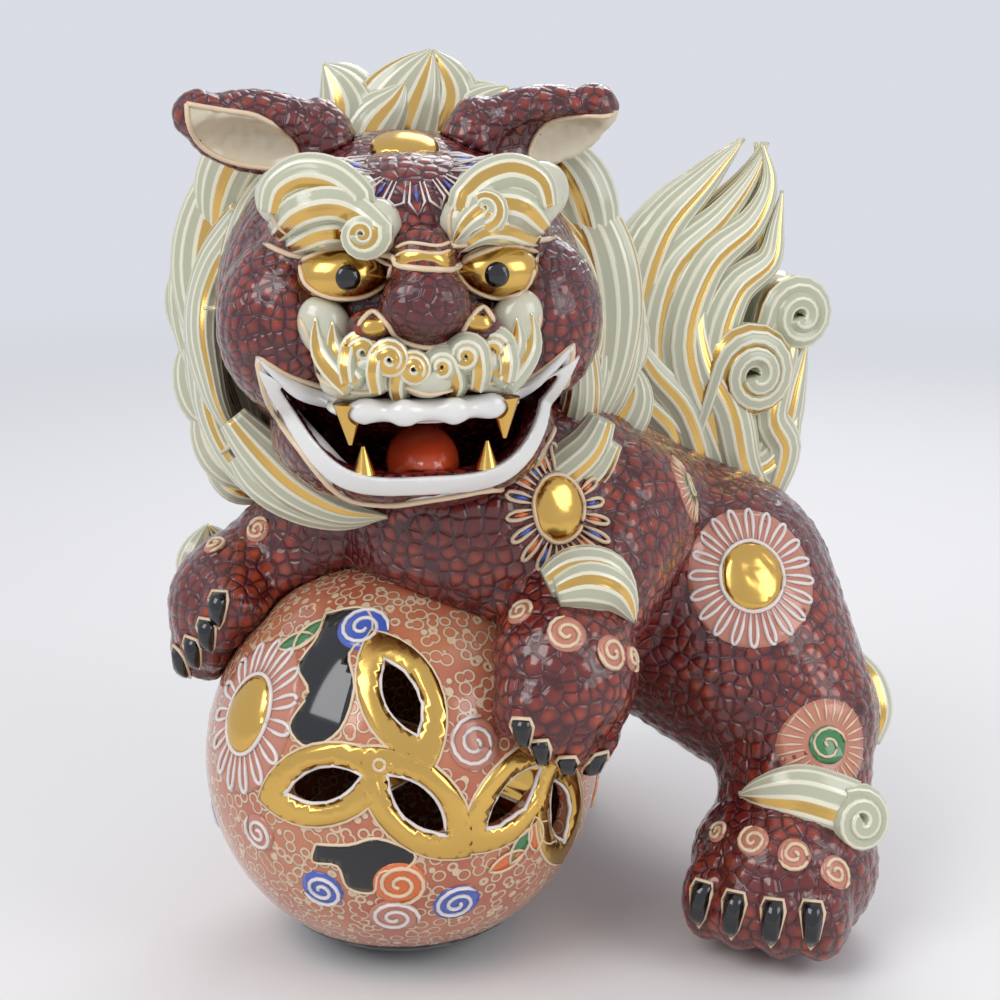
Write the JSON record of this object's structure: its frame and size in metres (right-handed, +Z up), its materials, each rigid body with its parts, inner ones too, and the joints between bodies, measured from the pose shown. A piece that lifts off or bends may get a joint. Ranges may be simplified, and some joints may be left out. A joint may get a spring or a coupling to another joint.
{
  "type": "shisa_lion_statue",
  "caption": "Porcelain guardian lion with open mouth, standing with both forepaws on a pierced ball, with maned head, leaf ears and upswept plume tail",
  "frame": {"origin": "middle of the footprint, on the surface that the lion stands on", "axes": "+Z up; -Y towards the viewer of the front of the head; +X to that viewer's right"},
  "size_m": [0.1886, 0.1802, 0.2235],
  "materials": {
    "body_glaze": "glossy maroon enamel over raised scales",
    "hair_glaze": "glossy pale celadon with raised cream lines and gilt bands",
    "white_glaze": "glossy white porcelain glaze",
    "red_glaze": "glossy orange-red enamel",
    "ball_glaze": "glossy brick ground with raised cream scallops and gilt petals",
    "claw_glaze": "glossy black enamel",
    "gilding": "burnished gold over the glaze"
  },
  "bodies": {
    "root": {"body_casting": "body_glaze", "ball_shell": "ball_glaze", "head_casting": "body_glaze", "moustache": "hair_glaze", "upper_teeth": "white_glaze", "mouth_rim": "white_glaze", "tongue": "red_glaze", "crown_disc": "gilding", "left_eye": "gilding", "right_eye": "gilding", "left_brow": "hair_glaze", "right_brow": "hair_glaze", "left_ear": "body_glaze", "right_ear": "body_glaze", "left_upper_fang": "gilding", "right_upper_fang": "gilding", "left_lower_fang": "gilding", "right_lower_fang": "gilding", "left_beard": "hair_glaze", "right_beard": "hair_glaze", "mane_back": "hair_glaze", "left_mane_fall": "hair_glaze", "right_mane_fall": "hair_glaze", "left_upper_flick": "hair_glaze", "left_lower_flick": "hair_glaze", "right_upper_flick": "hair_glaze", "right_lower_flick": "hair_glaze", "middle_crest_flame": "hair_glaze", "left_crest_flame": "hair_glaze", "right_crest_flame": "hair_glaze", "left_foreleg": "body_glaze", "right_foreleg": "body_glaze", "left_wrist_tuft": "hair_glaze", "right_wrist_tuft": "hair_glaze", "left_forepaw_claws": "claw_glaze", "right_forepaw_claws": "claw_glaze", "left_hind_leg": "body_glaze", "right_hind_leg": "body_glaze", "left_hock_tuft": "hair_glaze", "right_hock_tuft": "hair_glaze", "left_ankle_curl": "hair_glaze", "right_ankle_curl": "hair_glaze", "left_hind_claws": "claw_glaze", "right_hind_claws": "claw_glaze", "tail_plume": "hair_glaze", "tail_flame": "hair_glaze", "tail_front_large_curl": "hair_glaze", "tail_back_large_curl": "hair_glaze", "tail_small_curl": "hair_glaze"}
  },
  "joints": []
}
